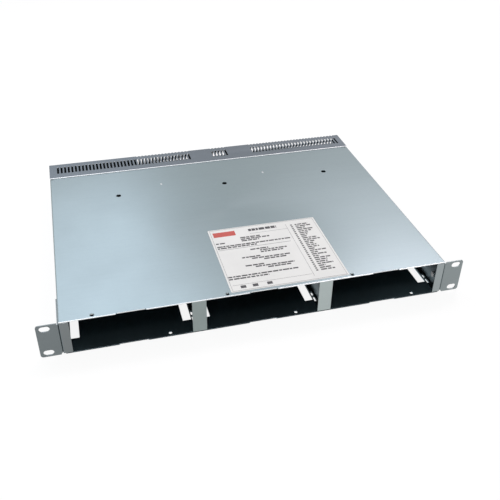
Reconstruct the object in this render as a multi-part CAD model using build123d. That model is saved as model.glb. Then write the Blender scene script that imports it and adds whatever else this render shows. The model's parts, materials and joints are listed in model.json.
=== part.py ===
"""Nineteen-inch rack shelf, one unit high, for three plug-in power modules.

Millimetres. X runs along the rack's width, Y from the front face to the back, Z up.
The origin is the centre of the rack hole pattern, on the front face of the two ears.
"""
import os
from build123d import *

# Sheet metal
SHEET_T = 1.0            # tray, cover, dividers and guides
REAR_COVER_T = 0.8
EAR_T = 1.2
BEND_R = 0.6             # inside radius of a fold
EAR_BEND_R = 0.4
FIT = 0.1                # gap between two pieces that lie or fit on each other

# Module bays, side by side between the posts
N_BAYS = 3
BAY_W = 128.4
BAY_H = 41.2
BAY_D = 292.0            # front face to the module connectors
POST_W = 15.6            # front plate of one divider
END_FLANGE_W = 10.1

# Rack ears
EAR_W = 23.0             # the body's side to the ear's outer edge, 482.6 over both
EAR_H = 42.2
EAR_LEG_D = 46.0
EAR_CORNER_R = 3.0
EAR_RELIEF = 2.0         # the fold stops this far short of the ear's top and bottom
EAR_NECK_R = 0.5
SLOT_EDGE = 8.75         # slot centre from the ear's outer edge, 465.1 between the ears
SLOT_PITCH_Z = 31.75
SLOT_LEN = 11.0
SLOT_W = 6.8

# Tray and its rear wall
LIP_H = 12.0
LIP_START = 4.0
REAR_WALL_H = 29.1
REAR_SPACE = 46.8        # board front to the back of the body
REAR_RELIEF = 2.5

# Top cover
LAP_D = 6.0              # top cover under the rear cover
SEAM_RELIEF_W = 1.4
SEAM_RELIEF_L = 5.2
SEAM_RELIEF_GAP = 0.8
COVER_LIFT = 0.2         # the cover's sides end this far above the tray's underside
FLANGE_RELIEF = 0.5

# Rear cover and its vents
STRIP_D = 41.5
BACK_LAP = 4.5           # back flange over the tray's rear wall
REAR_CORNER_R = 0.8
VENT_PITCH = 4.92
VENT_W = 2.6
VENT_L = 18.5
VENT_EDGE = 10.0         # rear face to the top row of vents
VENT_LEFT_EDGE = 11.7
VENT_RIGHT_EDGE = 9.2
VENT_COUNTS = (39, 5)    # left and middle groups, the right group fills what is left
VENT_GAPS = (35.8, 40.2)
N_BLIND_VENTS = 23       # vents at the left with none in the back flange behind them
BACK_VENT_BEND = 2.4     # the back vents start this far in front of the rear face
BACK_VENT_STEP = 1.0     # above the tray's rear wall

# Details along the front edges
NOTCH_W = 32.0
NOTCH_D = 1.1
NOTCH_SLOPE = 1.5
LATCH_HOLE_R = 1.9
LATCH_HOLE_Y = 4.3
LATCH_HOLE_X = 39.8      # left of the bay's centre in the cover, right of it in the floor
CSK_R = 2.5
CSK_DEPTH = 0.45
COVER_HOLE_R = 3.3
COVER_HOLE_Y = 242.5
COVER_HOLE_X = 12.5
FLOOR_HOLE_R = 1.9
FLOOR_HOLE_Y = 4.9
WINDOW_Y = 21.2
WINDOW_L = 42.0
WINDOW_W = 9.4
WINDOW_EDGE = 0.4        # window to the foot of the guide beside it

# Dividers and side guides
FOOT_SETBACK = 2.1       # feet stay this far behind the bay's side
DIVIDER_END_GAP = 4.0    # dividers end this far in front of the board
DIVIDER_GAP = 0.1
POST_MARGIN = 0.5        # front plate beyond the flanges behind it
FOOT_START = 3.2
FRONT_STUB = 12.0
TAB_SETBACK = 39.6       # middle of the tab to the divider's rear end
TAB_L = 4.5
TAB_RELIEF = 1.0
GUIDE_START = 3.2
RIVET_R = 1.0
RIVET_HEAD_R = 1.6
RIVET_HEAD_H = 0.6
RIVET_TAPER = 0.6        # top of a rivet's head, as a share of its foot
RIVET_EDGE = 0.15        # foot's edge to the rivet's head
N_FOOT_RIVETS = 4
FIRST_RIVET_Y = 60.0
LAST_RIVET_GAP = 16.0    # last rivet to the divider's rear end
FOOT_SLOT_W = 2.4
FOOT_SLOTS = ((16.8, 26.0), (27.5, 34.5))

# Backplane
BOARD_T = 2.0
BOARD_H = 22.0
BOARD_LIFT = 2.6         # floor to the board
BOARD_SIDE_GAP = 11.0
BOARD_SCREW_EDGE = 5.0   # board's end to its outer screw
STANDOFF_L = 4.0
STANDOFF_R = 2.6
STANDOFF_Z = 5.6         # above the floor
RAIL_H = 9.6
RAIL_FOOT = 11.0
RAIL_END = 8.0           # rail beyond its outer screw
RAIL_RIVET_Y = 7.0       # behind the rail's front face
CONNECTOR_W = 66.0
CONNECTOR_H = 13.0
CONNECTOR_D = 12.0
CONNECTOR_Z = 13.6       # centre above the floor
CONNECTOR_CHAMFER = 2.0
N_BLADES = 3             # blade slots either side
BLADE_EDGE = 6.5
BLADE_PITCH = 7.0
BLADE_W = 2.4
BLADE_H = 8.0
BLADE_DEPTH = 8.0
N_CONTACT_COLUMNS = 5
N_CONTACT_ROWS = 3
CONTACT_PITCH = 3.2
CONTACT_W = 1.4
CONTACT_DEPTH = 6.0
HEADER_W = 22.0
HEADER_H = 10.0
HEADER_D = 9.0
HEADER_DROP = 0.5        # header's top below the board's
HEADER_WALL = 2.0
HEADER_LIP = 1.5
HEADER_WELL_W = 4.0
HEADER_WELL_H = 4.0

# Power inlets in the rear wall
N_INLETS = 3
INLET_MARGIN = 7.5       # left side of the body to the first inlet's flange
INLET_GAP = 5.0
INLET_Z = 12.6           # centre above the tray's underside
INLET_FLANGE_W = 50.0
INLET_FLANGE_H = 22.4
INLET_FLANGE_T = 2.5
INLET_BODY_W = 27.6
INLET_BODY_H = 19.4
INLET_BODY_D = 16.5
INLET_MOUTH_W = 24.4
INLET_MOUTH_H = 16.2
INLET_MOUTH_D = 15.6
INLET_CHAMFER = 4.2
INLET_CORNER_R = 4.0
INLET_SCREW_EDGE = 5.0
PIN_W = 2.0
PIN_H = 4.0
PIN_PITCH = 14.0
PIN_DROP = 2.0
PIN_SETBACK = 1.5
PIN_CHAMFER = 0.5
TAB_PIN_L = 8.0
TAB_PIN_T = 0.8

# Direct-current output pads in the rear wall
PAD_PITCH = 55.0
BAR_W = 25.0
BAR_T = 3.0
BAR_BEND_R = 0.8
BAR_Z = 17.0             # bar centre above the tray's underside
BAR_FOOT_H = 7.0
PAD_H = 14.5
PAD_HOLE_R = 2.5
INSULATOR_T = 2.2
INSULATOR_MARGIN = 5.5
INSULATOR_H = 21.6
INSULATOR_BOSS_D = 3.4
INSULATOR_CORNER_R = 2.0
INSULATOR_LIP = 2.5      # beyond the hole in the wall at both ends
INSULATOR_LIP_H = 2.2    # beyond it above and below
BOLT_ROOM = 1.0          # round and behind the pads' threads
RIDGE_GAP = 3.0          # pad to the ridge between the pads
RIDGE_RISE = 1.5
RIDGE_EDGE = 1.0

# Signal connectors in the rear wall
SIGNAL_Z = 12.6
SIGNAL_FLANGE_W = 53.0
SIGNAL_FLANGE_H = 12.5
SIGNAL_FLANGE_T = 0.8
SIGNAL_SHELL_EDGE = 7.2  # flange's edge to the shell
SIGNAL_SHELL_H = 8.2
SIGNAL_SHELL_OUT = 5.8
SIGNAL_SHELL_T = 0.5
SIGNAL_HOLE_GAP = 1.0    # shell to the hole in the wall
SIGNAL_CORNER_R = 2.0
SIGNAL_SLOPE = 0.18      # lean of each side, as a share of the height
SIGNAL_ROUND = 0.25      # corners, as a share of the height
SIGNAL_SETBACK = 0.5     # insert behind the shell's mouth
SIGNAL_SCREW_EDGE = 3.0
N_SIGNAL_PINS = 13
SIGNAL_PIN_MARGIN = 2.75 # shell's side to the outer contact
SIGNAL_ROW_PITCH = 2.84
SIGNAL_PIN_W = 1.1
SIGNAL_PIN_DEPTH = 2.0
SIGNAL_BODY_D = 9.0
SIGNAL_BLOCK_D = 4.0
SIGNAL_BLOCK_BACK = 12.0
SIGNAL_POST_R = 2.8
SIGNAL_POST_SHANK = 5.0
SIGNAL_POST_HOLE = 3.0
SIGNAL_GAP_SHARE = 0.395 # share of the rear wall's free width left of the signal connector
PAD_GAP_SHARE = 0.172    # share left of the output pads
N_JACKS = 2
FIRST_JACK_GAP = 9.7
JACK_GAP = 2.9
JACK_W = 15.6
JACK_H = 13.2
JACK_D = 14.5
JACK_MOUTH_W = 11.7
JACK_MOUTH_H = 6.8
JACK_MOUTH_D = 12.4
JACK_KEY_W = 6.2
JACK_KEY_H = 2.2
JACK_KEY_SETBACK = 2.0
JACK_PROUD = 0.6
SIGNAL_BOARD_T = 1.6
SIGNAL_BOARD_LIFT = 2.9  # floor to the signal board
SIGNAL_BOARD_D = 26.0
SIGNAL_BOARD_EDGE = 2.0  # beyond the last socket
SIGNAL_BOARD_GAP = 1.0   # to the rear wall
PILLAR_EDGE = 5.0
PILLAR_SETBACK = 4.0

# Screws
M3_R = 1.45
M3_HOLE_R = 1.6
M3_HEAD_R = 2.7
M3_HEAD_H = 1.7
M4_R = 1.9
M4_HOLE_R = 2.05
M4_HEAD_R = 3.7
CSK_HEAD_H = 1.7
SIDE_CSK_H = 0.8
SIDE_HEAD_R = 2.5
EAR_CSK_H = 1.0
RECESS_W = 0.28          # shares of a head's radius
RECESS_REACH = 1.15
RECESS_DEPTH = 0.6       # shares of a head's height
HEAD_CHAMFER = 0.4
NUT_WALL = 1.5
NUT_H = 2.0
N_SIDE_SCREWS = 4
FIRST_SIDE_SCREW_Y = 78.0
LAST_SIDE_SCREW_GAP = 18.8
SIDE_SCREW_Z = 6.5       # above the tray's underside
EAR_SCREW_YS = (14.0, 35.0)
EAR_SCREW_ZS = (-4.5, 12.5)
REAR_SCREW_MARGIN = 11.4
N_REAR_SCREWS = 6

# Wires
WIRE_R = 1.2
WIRE_BEND = 3.6
LEAD_TOP = 31.0          # top of the power leads above the floor
LEAD_RUN = 5.0           # straight run into an inlet's tab
LEAD_END_BEND = 2.2

# Rating label on the cover
LABEL_T = 0.15
LABEL_X0 = -35.6
LABEL_W = 136.8
LABEL_Y0 = 4.5
LABEL_D = 125.3
LABEL_CORNER_R = 1.5

# Worked out from the sizes above
BODY_W = N_BAYS * BAY_W + (N_BAYS - 1) * POST_W + 2 * END_FLANGE_W
BODY_X = BODY_W / 2
BAY_PITCH = BAY_W + POST_W
BAY_XS = [(i - (N_BAYS - 1) / 2) * BAY_PITCH for i in range(N_BAYS)]
DIVIDER_XS = [x + BAY_PITCH / 2 for x in BAY_XS[:-1]]
BASE_Z = -EAR_H / 2
FLOOR_Z = BASE_Z + SHEET_T
CEIL_Z = FLOOR_Z + BAY_H
TOP_Z = CEIL_Z + SHEET_T
BOARD_Y = BAY_D + CONNECTOR_D
BODY_D = BOARD_Y + REAR_SPACE
SEAM_Y = BODY_D - STRIP_D
REAR_TOP_Z = TOP_Z + REAR_COVER_T
SIDE_IN = BODY_X - SHEET_T
TRAY_X = SIDE_IN - FIT
TRAY_D = BODY_D - REAR_COVER_T - FIT
LIP_IN = TRAY_X - SHEET_T
WALL_IN = TRAY_D - SHEET_T
REAR_WALL_TOP = BASE_Z + REAR_WALL_H
OUTER_R = BEND_R + SHEET_T
GUIDE_IN = LIP_IN - FIT - SHEET_T
FOOT_IN = BAY_W / 2 + FOOT_SETBACK
FOOT_MID = FOOT_IN + RIVET_EDGE + RIVET_HEAD_R
RAIL_Y = BOARD_Y + BOARD_T + STANDOFF_L
RACK_W = BODY_W + 2 * EAR_W
SLOT_X = RACK_W / 2 - SLOT_EDGE
DIVIDER_D = BOARD_Y - DIVIDER_END_GAP
TAB_Y = DIVIDER_D - TAB_SETBACK
REAR_SCREW_Z = REAR_WALL_TOP - BACK_LAP / 2
STANDOFF_XS = [-BAY_XS[-1] - BAY_PITCH / 2 + BOARD_SIDE_GAP + BOARD_SCREW_EDGE] + DIVIDER_XS
STANDOFF_XS = STANDOFF_XS + [-STANDOFF_XS[0]]

# The rear wall from left to right: inlets, signal connector, sockets and output pads
INLETS_W = N_INLETS * INLET_FLANGE_W + (N_INLETS - 1) * INLET_GAP
SIGNALS_W = SIGNAL_FLANGE_W + FIRST_JACK_GAP + N_JACKS * JACK_W + (N_JACKS - 1) * JACK_GAP
PADS_W = PAD_PITCH + BAR_W + 2 * INSULATOR_MARGIN
FREE_W = BODY_W - INLET_MARGIN - INLETS_W - SIGNALS_W - PADS_W
SIGNAL_LEFT = -BODY_X + INLET_MARGIN + INLETS_W + SIGNAL_GAP_SHARE * FREE_W
PADS_LEFT = SIGNAL_LEFT + SIGNALS_W + PAD_GAP_SHARE * FREE_W
SIGNAL_X = SIGNAL_LEFT + SIGNAL_FLANGE_W / 2
INLET_SCREW_PITCH = INLET_FLANGE_W - 2 * INLET_SCREW_EDGE
HEADER_TOP = FLOOR_Z + BOARD_LIFT + BOARD_H - HEADER_DROP
SIGNAL_SHELL_W = SIGNAL_FLANGE_W - 2 * SIGNAL_SHELL_EDGE
SIGNAL_SCREW_PITCH = SIGNAL_FLANGE_W - 2 * SIGNAL_SCREW_EDGE
SIGNAL_PIN_PITCH = (SIGNAL_SHELL_W - 2 * SIGNAL_PIN_MARGIN) / (N_SIGNAL_PINS - 1)


def spread(first, last, count):
    """Evenly spaced places from the first to the last."""
    return [first + i * (last - first) / (count - 1) for i in range(count)]


def in_row(left, width, gap, count):
    """Centres of equal pieces side by side, from the left edge of the first."""
    return [left + width / 2 + i * (width + gap) for i in range(count)]


INLET_XS = in_row(-BODY_X + INLET_MARGIN, INLET_FLANGE_W, INLET_GAP, N_INLETS)
JACK_XS = in_row(SIGNAL_LEFT + SIGNAL_FLANGE_W + FIRST_JACK_GAP, JACK_W, JACK_GAP, N_JACKS)
PAD_XS = in_row(PADS_LEFT + INSULATOR_MARGIN, BAR_W, PAD_PITCH - BAR_W, 2)
REAR_SCREW_XS = spread(REAR_SCREW_MARGIN - TRAY_X, TRAY_X - REAR_SCREW_MARGIN, N_REAR_SCREWS)
SIDE_SCREW_YS = spread(FIRST_SIDE_SCREW_Y, BODY_D - LAST_SIDE_SCREW_GAP, N_SIDE_SCREWS)
RIVET_YS = spread(FIRST_RIVET_Y, DIVIDER_D - LAST_RIVET_GAP, N_FOOT_RIVETS)


def block(x0, x1, y0, y1, z0, z1):
    """A box between two corners."""
    middle = Pos((x0 + x1) / 2, (y0 + y1) / 2, (z0 + z1) / 2)
    return middle * Box(x1 - x0, y1 - y0, z1 - z0)


def bar_x(x, y, z, r, length):
    return Pos(x, y, z) * Rot(0, 90, 0) * Cylinder(r, length)


def bar_y(x, y, z, r, length):
    return Pos(x, y, z) * Rot(90, 0, 0) * Cylinder(r, length)


def bar_z(x, y, z, r, length):
    return Pos(x, y, z) * Cylinder(r, length)


def folded(points, t=SHEET_T, r=BEND_R):
    """Section of a folded sheet whose middle line follows the points."""
    return trace(FilletPolyline(*points, radius=r + t / 2), t)


def along_x(section, x0, x1):
    return extrude(Plane.YZ.offset(x0) * section, amount=x1 - x0)


def along_y(section, y0, y1):
    return extrude(Plane.XZ.offset(-y0) * section, amount=-(y1 - y0))


def along_z(section, z0, z1):
    return extrude(Plane.XY.offset(z0) * section, amount=z1 - z0)


def facing(x, y, z, towards):
    """Place whose own +Z looks along one of the model's axes."""
    turns = {"+X": (0, 90, 0), "-X": (0, -90, 0), "+Y": (-90, 0, 0), "-Y": (90, 0, 0), "+Z": (0, 0, 0)}
    return Pos(x, y, z) * Rot(*turns[towards])


def cross_recess(head_r, depth):
    width = head_r * RECESS_W
    arm = head_r * RECESS_REACH
    return Pos(0, 0, -depth / 2) * (Box(arm, width, depth) + Box(width, arm, depth))


def pan_screw(shank_r, length, head_r, head_h):
    """Pan-head screw that seats at Z 0 with its head above it."""
    head = Pos(0, 0, head_h / 2) * Cylinder(head_r, head_h)
    head = chamfer(head.edges().group_by(Axis.Z)[-1], head_h * HEAD_CHAMFER)
    shank = Pos(0, 0, -length / 2) * Cylinder(shank_r, length)
    return head + shank - Pos(0, 0, head_h) * cross_recess(head_r, head_h * RECESS_DEPTH)


def countersunk_screw(shank_r, length, head_r, head_h):
    """Countersunk screw whose flat head is flush with Z 0."""
    head = Pos(0, 0, -head_h / 2) * Cone(shank_r, head_r, head_h)
    shank = Pos(0, 0, -length / 2) * Cylinder(shank_r, length)
    return head + shank - cross_recess(head_r, head_h * RECESS_DEPTH)


def countersink(hole_r, head_r, head_h, depth):
    """Cutter for a countersunk hole that opens at Z 0."""
    cone = Pos(0, 0, -head_h / 2) * Cone(hole_r, head_r + FIT, head_h)
    return cone + Cylinder(hole_r, 2 * depth)


def press_nut(hole_r, height):
    """Six-sided press nut that stands on Z 0."""
    body = extrude(RegularPolygon(hole_r + NUT_WALL, 6), amount=height)
    return body - Cylinder(hole_r, 3 * height)


def save(node, shape):
    export_step(Compound(children=[s for s in shape.solids()]), os.path.join("parts", node + ".step"))


def both_sides(shape):
    """The shape and its mirror image across the middle of the shelf."""
    return shape + mirror(shape, about=Plane.YZ)


def guide_feet():
    """Middle line in X of every foot that stands on the floor."""
    feet = []
    for bay in BAY_XS:
        for side in (-1, 1):
            feet.append(bay + side * FOOT_MID)
    return feet


def vent_groups():
    """X of the vents in each of the three groups, left to right."""
    groups = []
    x = -BODY_X + VENT_LEFT_EDGE
    for count, gap in zip(VENT_COUNTS, VENT_GAPS):
        groups.append([x + i * VENT_PITCH for i in range(count)])
        x = groups[-1][-1] + gap
    room = BODY_X - VENT_RIGHT_EDGE - x
    count = int(room / VENT_PITCH + 1e-6) + 1
    groups.append([x + i * VENT_PITCH for i in range(count)])
    return groups


def back_vents():
    """X of the vents that also run down the back flange."""
    vents = [x for group in vent_groups() for x in group]
    return vents[N_BLIND_VENTS:]


def front_notches(z0, z1):
    """Shallow finger notches in the front edge, one at the middle of each bay."""
    half = NOTCH_W / 2
    points = [(-half, -1), (-half, 0), (-half + NOTCH_SLOPE, NOTCH_D), (half - NOTCH_SLOPE, NOTCH_D),
              (half, 0), (half, -1)]
    notch = along_z(make_face(Polyline(*points, close=True)), z0, z1)
    return [Pos(x, 0, 0) * notch for x in BAY_XS]


def foot_slots(x):
    """Slots near the front, through a foot and the floor under it."""
    half = FOOT_SLOT_W / 2
    return [block(x - half, x + half, y0, y1, BASE_Z - 1, FLOOR_Z + 2 * SHEET_T) for y0, y1 in FOOT_SLOTS]


def divider_slots(z0, z1):
    """Slots that take the dividers' tabs."""
    half_x = SHEET_T + DIVIDER_GAP / 2 + FIT
    half_y = TAB_L / 2 + FIT
    return [block(x - half_x, x + half_x, TAB_Y - half_y, TAB_Y + half_y, z0, z1) for x in DIVIDER_XS]


def side_screw_holes(hole_r):
    """Holes for the screws in the lower edge of both sides."""
    z = BASE_Z + SIDE_SCREW_Z
    return [bar_x(0, y, z, hole_r, 2 * BODY_X) for y in SIDE_SCREW_YS]


def ear_screw_holes(hole_r):
    return [bar_x(0, y, z, hole_r, 2 * BODY_X) for y in EAR_SCREW_YS for z in EAR_SCREW_ZS]


def rear_wall_cutters():
    """Everything cut in the tray's rear wall."""
    y0, y1 = WALL_IN - 1, TRAY_D + 1
    cutters = []
    for x in INLET_XS:
        opening = inlet_outline(INLET_BODY_W + 2 * FIT, INLET_BODY_H + 2 * FIT)
        cutters.append(Pos(x, 0, BASE_Z + INLET_Z) * along_y(opening, y0, y1))
        for side in (-1, 1):
            cutters.append(bar_y(x + side * INLET_SCREW_PITCH / 2, TRAY_D, BASE_Z + INLET_Z, M3_R + FIT, 6))
    shell = signal_outline(SIGNAL_SHELL_W + 2 * SIGNAL_HOLE_GAP, SIGNAL_SHELL_H + 2 * SIGNAL_HOLE_GAP)
    cutters.append(Pos(SIGNAL_X, 0, BASE_Z + SIGNAL_Z) * along_y(shell, y0, y1))
    for side in (-1, 1):
        cutters.append(bar_y(SIGNAL_X + side * SIGNAL_SCREW_PITCH / 2, TRAY_D, BASE_Z + SIGNAL_Z,
                             M3_R + FIT, 6))
    jack_z = jack_bottom() + JACK_H / 2
    for x in JACK_XS:
        half_w, half_h = JACK_W / 2 + FIT, JACK_H / 2 + FIT
        cutters.append(block(x - half_w, x + half_w, y0, y1, jack_z - half_h, jack_z + half_h))
    x0, x1, z0, z1 = insulator_hole()
    cutters.append(block(x0, x1, y0, y1, z0, z1))
    for x in REAR_SCREW_XS:
        cutters.append(bar_y(x, TRAY_D, REAR_SCREW_Z, M3_R + FIT, 6))
    return cutters


def inlet_outline(width, height):
    """Rectangle with its two upper corners cut off, as a three-pin inlet has."""
    half_w, half_h = width / 2, height / 2
    c = INLET_CHAMFER
    points = [(-half_w, -half_h), (half_w, -half_h), (half_w, half_h - c), (half_w - c, half_h),
              (-half_w + c, half_h), (-half_w, half_h - c)]
    return make_face(Polyline(*points, close=True))


def signal_outline(width, height):
    """D-shaped outline with rounded corners."""
    shrink = height * SIGNAL_SLOPE
    half_w, half_h = width / 2, height / 2
    points = [(-half_w, half_h), (half_w, half_h), (half_w - shrink, -half_h), (-half_w + shrink, -half_h)]
    face = make_face(Polyline(*points, close=True))
    return fillet(face.vertices(), height * SIGNAL_ROUND)


def jack_bottom():
    return FLOOR_Z + SIGNAL_BOARD_LIFT + SIGNAL_BOARD_T + FIT


def insulator_hole():
    """Corners in X and Z of the hole that the output pads' insulator fills."""
    reach = BAR_W / 2 + INSULATOR_MARGIN - INSULATOR_LIP
    z = BASE_Z + INLET_Z
    half_h = INSULATOR_H / 2 - INSULATOR_LIP_H
    return PAD_XS[0] - reach, PAD_XS[1] + reach, z - half_h, z + half_h


def base_tray():
    mid = SHEET_T / 2
    x = TRAY_X - mid
    lips = [(-x, BASE_Z + LIP_H), (-x, BASE_Z + mid), (x, BASE_Z + mid), (x, BASE_Z + LIP_H)]
    tray = along_y(folded(lips), LIP_START, TRAY_D - LIP_START)
    flat_x = TRAY_X - OUTER_R
    tray += block(-flat_x, flat_x, 0, TRAY_D - OUTER_R, BASE_Z, FLOOR_Z)
    wall = [(TRAY_D - 4 * OUTER_R, BASE_Z + mid), (TRAY_D - mid, BASE_Z + mid), (TRAY_D - mid, REAR_WALL_TOP)]
    tray += along_x(folded(wall), -TRAY_X + REAR_RELIEF, TRAY_X - REAR_RELIEF)
    below, above = BASE_Z - 1, FLOOR_Z + 1
    cutters = front_notches(below, above) + divider_slots(below, above)
    for bay in BAY_XS:
        cutters.append(bar_z(bay + LATCH_HOLE_X, FLOOR_HOLE_Y, FLOOR_Z, FLOOR_HOLE_R, 6))
        for side in (-1, 1):
            outer = bay + side * (FOOT_IN - WINDOW_EDGE)
            inner = outer - side * WINDOW_W
            cutters.append(block(min(inner, outer), max(inner, outer), WINDOW_Y, WINDOW_Y + WINDOW_L,
                                 below, above))
    for x in guide_feet():
        cutters += [bar_z(x, y, FLOOR_Z, RIVET_R + FIT, 6) for y in RIVET_YS]
        cutters += foot_slots(x)
    cutters += [bar_z(x, RAIL_Y + RAIL_RIVET_Y, FLOOR_Z, RIVET_R + FIT, 6) for x in STANDOFF_XS]
    cutters += side_screw_holes(M3_HOLE_R)
    cutters += rear_wall_cutters()
    return tray - cutters


def top_cover():
    mid = SHEET_T / 2
    x = BODY_X - mid
    bottom = BASE_Z + COVER_LIFT
    fold = [(-x, bottom), (-x, TOP_Z - mid), (x, TOP_Z - mid), (x, bottom)]
    cover = along_y(folded(fold), 0, TRAY_D)
    # The sides stop at the front fold and the top stops under the rear cover.
    cover -= [block(s * BODY_X - OUTER_R, s * BODY_X + OUTER_R, -1, OUTER_R, bottom - 1, CEIL_Z)
              for s in (-1, 1)]
    cover -= block(-BODY_X - 1, BODY_X + 1, SEAM_Y + LAP_D, TRAY_D + 1, CEIL_Z, TOP_Z + 1)
    flange_top = CEIL_Z - FLANGE_RELIEF
    flange = [(BODY_X - END_FLANGE_W, mid), (x, mid), (x, 4 * OUTER_R)]
    end = along_z(folded(flange), FLOOR_Z + FIT, flange_top)
    cover += both_sides(end)
    cutters = front_notches(CEIL_Z - 1, TOP_Z + 1) + divider_slots(CEIL_Z - 1, TOP_Z + 1)
    slit_y = SEAM_Y - SEAM_RELIEF_GAP - SEAM_RELIEF_W
    for s in (-1, 1):
        x0, x1 = sorted((s * (BODY_X - SEAM_RELIEF_L), s * (BODY_X + 1)))
        cutters.append(block(x0, x1, slit_y, slit_y + SEAM_RELIEF_W, CEIL_Z - 1, TOP_Z + 1))
    for bay in BAY_XS:
        cutters.append(Pos(bay - LATCH_HOLE_X, LATCH_HOLE_Y, TOP_Z)
                       * countersink(LATCH_HOLE_R, CSK_R, CSK_DEPTH, 3))
        cutters.append(bar_z(bay + COVER_HOLE_X, COVER_HOLE_Y, TOP_Z, COVER_HOLE_R, 6))
    cutters += ear_screw_holes(M4_HOLE_R)
    z = BASE_Z + SIDE_SCREW_Z
    for y in SIDE_SCREW_YS:
        sink = countersink(M3_HOLE_R, SIDE_HEAD_R, SIDE_CSK_H, 3)
        cutters.append(facing(BODY_X, y, z, "+X") * sink)
        cutters.append(facing(-BODY_X, y, z, "-X") * sink)
    return cover - cutters


def rear_cover():
    mid = REAR_COVER_T / 2
    z = REAR_TOP_Z - mid
    y = BODY_D - mid
    bottom = REAR_WALL_TOP - BACK_LAP
    fold = [(SEAM_Y, z), (y, z), (y, bottom)]
    cover = along_x(folded(fold, t=REAR_COVER_T), -BODY_X, BODY_X)
    corner = cover.edges().filter_by(Axis.Z).group_by(Axis.Y)[0]
    cover = fillet(corner, REAR_CORNER_R)
    rear = BODY_D - VENT_EDGE
    cutters = []
    for group in vent_groups():
        for x in group:
            cutters.append(block(x - VENT_W / 2, x + VENT_W / 2, rear - VENT_L, rear,
                                 TOP_Z - 1, REAR_TOP_Z + 1))
    low = REAR_WALL_TOP + BACK_VENT_STEP
    for x in back_vents():
        cutters.append(block(x - VENT_W / 2, x + VENT_W / 2, BODY_D - BACK_VENT_BEND, BODY_D + 1,
                             low, REAR_TOP_Z + 1))
    cutters += [bar_y(x, BODY_D, REAR_SCREW_Z, M3_HOLE_R, 6) for x in REAR_SCREW_XS]
    return cover - cutters


def channel(foot_tip, wall_mid, y0, y1):
    """Guide of C section, open towards the bay, with a foot and a top flange."""
    mid = SHEET_T / 2
    z0, z1 = FLOOR_Z + FIT + mid, CEIL_Z - FIT - mid
    return along_y(folded([(foot_tip, z0), (wall_mid, z0), (wall_mid, z1), (foot_tip, z1)]), y0, y1)


def foot_cutters(x):
    cutters = [bar_z(x, y, FLOOR_Z, RIVET_R + FIT, 6) for y in RIVET_YS]
    return cutters + foot_slots(x)


def divider_sheet(x, side):
    """One of the two folded sheets that stand back to back and make a divider."""
    mid = SHEET_T / 2
    wall = x + side * (DIVIDER_GAP / 2 + mid)
    bay_x = x + side * BAY_PITCH / 2
    tip = bay_x - side * FOOT_IN
    sheet = channel(tip, wall, FOOT_START, DIVIDER_D)
    flange_y = SHEET_T + FIT + mid
    flange = [(x + side * (POST_W / 2 - POST_MARGIN), flange_y), (wall, flange_y), (wall, FRONT_STUB)]
    sheet += along_z(folded(flange), FLOOR_Z + FIT, CEIL_Z - FIT)
    y0, y1 = TAB_Y - TAB_L / 2, TAB_Y + TAB_L / 2
    inner = wall + side * mid
    x0, x1 = sorted((inner, tip + side))
    low, high = FLOOR_Z + OUTER_R, CEIL_Z - OUTER_R
    sheet -= [block(x0, x1, y0 - TAB_RELIEF, y1 + TAB_RELIEF, FLOOR_Z, low),
              block(x0, x1, y0 - TAB_RELIEF, y1 + TAB_RELIEF, high, CEIL_Z)]
    sheet += block(wall - mid, wall + mid, y0, y1, BASE_Z, TOP_Z)
    return sheet - foot_cutters(bay_x - side * FOOT_MID)


def divider_post(x):
    """Flat front plate that covers the flanges of both sheets of a divider."""
    return block(x - POST_W / 2, x + POST_W / 2, 0, SHEET_T, FLOOR_Z + FIT, CEIL_Z - FIT)


def side_guide(side):
    """Guide of C section along one side of the shelf."""
    tip = BAY_XS[-1] + FOOT_IN
    guide = channel(tip, GUIDE_IN + SHEET_T / 2, GUIDE_START, DIVIDER_D)
    guide -= foot_cutters(BAY_XS[-1] + FOOT_MID)
    guide -= ear_screw_holes(M4_HOLE_R)
    guide -= side_screw_holes(M3_HOLE_R)
    return guide if side > 0 else mirror(guide, about=Plane.YZ)


def rivet(under, top):
    """Rivet with a low conical head, flush underneath."""
    head = Pos(0, 0, top + RIVET_HEAD_H / 2) * Cone(RIVET_HEAD_R, RIVET_HEAD_R * RIVET_TAPER, RIVET_HEAD_H)
    return head + Pos(0, 0, (under + top) / 2) * Cylinder(RIVET_R, top - under)


def foot_rivets():
    one = rivet(BASE_Z, FLOOR_Z + FIT + SHEET_T)
    places = [(x, y) for x in guide_feet() for y in RIVET_YS]
    places += [(x, RAIL_Y + RAIL_RIVET_Y) for x in STANDOFF_XS]
    return Compound(children=[Pos(x, y, 0) * one for x, y in places])


def ear(side):
    """Folded rack ear with a leg along the shelf's side."""
    mid = EAR_T / 2
    leg_x = BODY_X + FIT + mid
    plate_x = leg_x + mid + EAR_BEND_R
    half_fold = EAR_H / 2 - EAR_RELIEF
    section = folded([(plate_x + 2, mid), (leg_x, mid), (leg_x, EAR_LEG_D)], t=EAR_T, r=EAR_BEND_R)
    leg = along_z(section, -half_fold, half_fold)
    leg = fillet(leg.edges().filter_by(Axis.X).group_by(Axis.Y)[-1], EAR_CORNER_R)
    plate = block(plate_x, RACK_W / 2, 0, EAR_T, -EAR_H / 2, EAR_H / 2)
    across = plate.edges().filter_by(Axis.Y).group_by(Axis.X)
    plate = fillet(across[-1], EAR_CORNER_R)
    inner = plate.edges().filter_by(Axis.Y).group_by(Axis.X)[0]
    plate = fillet(inner, EAR_NECK_R)
    shape = leg + plate
    slot = along_y(SlotOverall(SLOT_LEN, SLOT_W), -1, EAR_T + 1)
    shape -= [Pos(SLOT_X, 0, s * SLOT_PITCH_Z / 2) * slot for s in (-1, 1)]
    sink = countersink(M4_HOLE_R, M4_HEAD_R, EAR_CSK_H, 4)
    shape -= [facing(leg_x + mid, y, z, "+X") * sink for y in EAR_SCREW_YS for z in EAR_SCREW_ZS]
    return shape if side > 0 else mirror(shape, about=Plane.YZ)


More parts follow.
